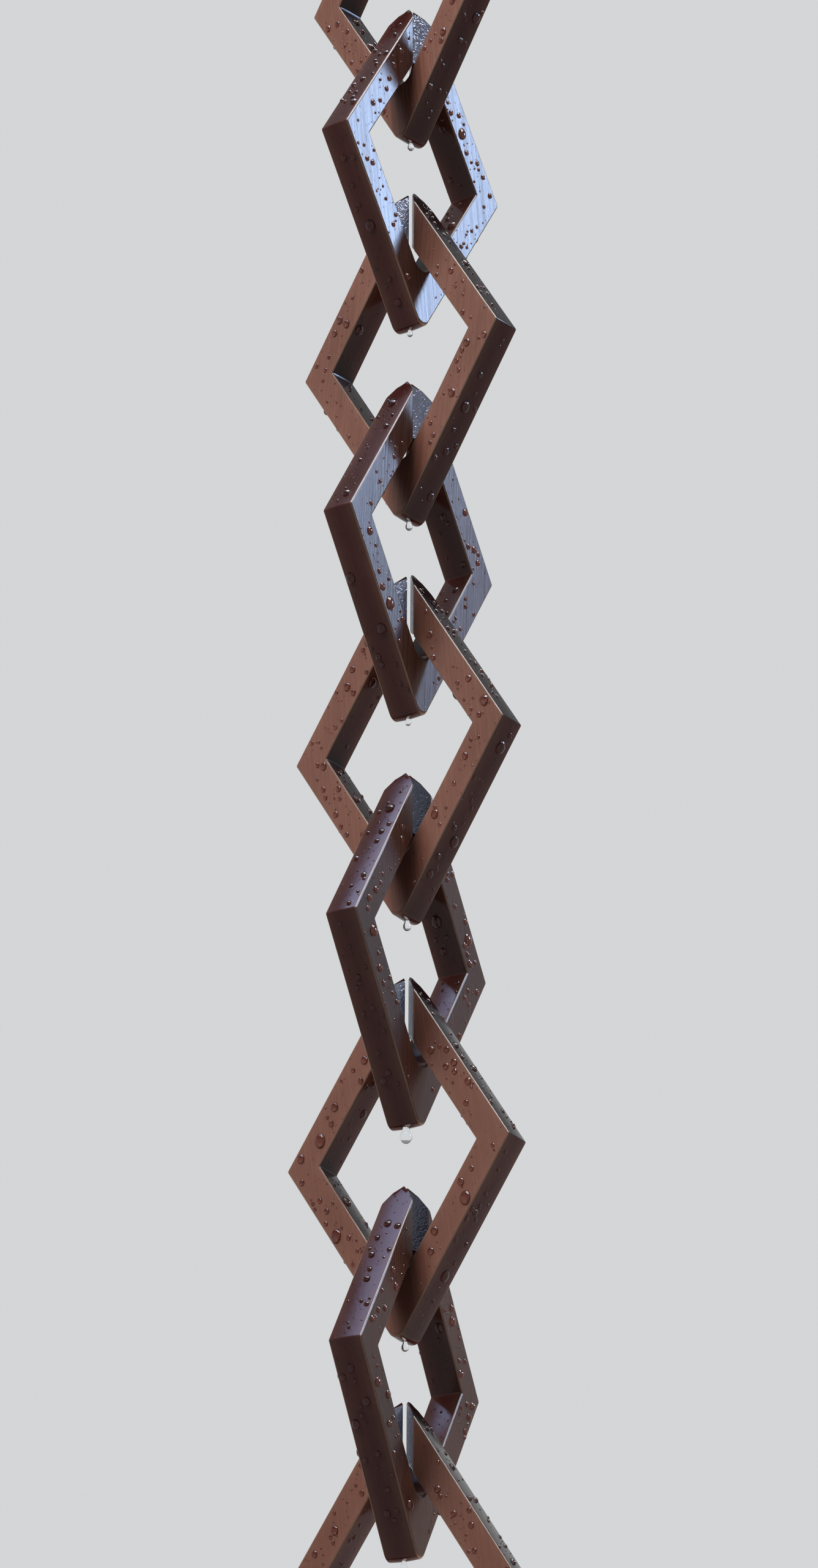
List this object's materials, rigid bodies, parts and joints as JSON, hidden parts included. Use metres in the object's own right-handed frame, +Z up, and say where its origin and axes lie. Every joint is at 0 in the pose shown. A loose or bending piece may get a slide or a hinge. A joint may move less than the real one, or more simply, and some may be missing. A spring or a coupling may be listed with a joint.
{
  "type": "rain chain",
  "caption": "Hanging rain chain of interlocked diamond links sawn from metal extrusion, leading roof water down from a gutter outlet.",
  "frame": {"origin": "hook seat, the inside of the top link's upper corner, on the chain's axis", "axes": "+Z up along the hanging chain, X in the plane of the top link"},
  "size_m": [0.0642, 0.0642, 0.5417],
  "materials": {
    "brown_coat": "satin brown powder coat over sawn aluminium, wet with rain"
  },
  "bodies": {
    "link_1": {"link_1": "brown_coat"},
    "link_2": {"link_2": "brown_coat"},
    "link_3": {"link_3": "brown_coat"},
    "link_4": {"link_4": "brown_coat"},
    "link_5": {"link_5": "brown_coat"},
    "link_6": {"link_6": "brown_coat"},
    "link_7": {"link_7": "brown_coat"},
    "link_8": {"link_8": "brown_coat"},
    "link_9": {"link_9": "brown_coat"}
  },
  "joints": [
    {"name": "link_2_swing", "type": "hinge", "parent": "link_1", "child": "link_2", "pos_m": [0, 0, -0.06219], "axis": [-0.9994, -0.0349, 0], "range_deg": [-30, 30]},
    {"name": "link_3_swing", "type": "hinge", "parent": "link_2", "child": "link_3", "pos_m": [0, 0, -0.11789], "axis": [-0.0698, 0.9976, 0], "range_deg": [-30, 30]},
    {"name": "link_4_swing", "type": "hinge", "parent": "link_3", "child": "link_4", "pos_m": [0, 0, -0.17359], "axis": [-0.9945, -0.1045, 0], "range_deg": [-30, 30]},
    {"name": "link_5_swing", "type": "hinge", "parent": "link_4", "child": "link_5", "pos_m": [0, 0, -0.22929], "axis": [-0.1392, 0.9903, 0], "range_deg": [-30, 30]},
    {"name": "link_6_swing", "type": "hinge", "parent": "link_5", "child": "link_6", "pos_m": [0, 0, -0.28499], "axis": [-0.9848, -0.1736, 0], "range_deg": [-30, 30]},
    {"name": "link_7_swing", "type": "hinge", "parent": "link_6", "child": "link_7", "pos_m": [0, 0, -0.3407], "axis": [-0.2079, 0.9781, 0], "range_deg": [-30, 30]},
    {"name": "link_8_swing", "type": "hinge", "parent": "link_7", "child": "link_8", "pos_m": [0, 0, -0.3964], "axis": [-0.9703, -0.2419, 0], "range_deg": [-30, 30]},
    {"name": "link_9_swing", "type": "hinge", "parent": "link_8", "child": "link_9", "pos_m": [0, 0, -0.4521], "axis": [-0.2756, 0.9613, 0], "range_deg": [-30, 30]}
  ]
}
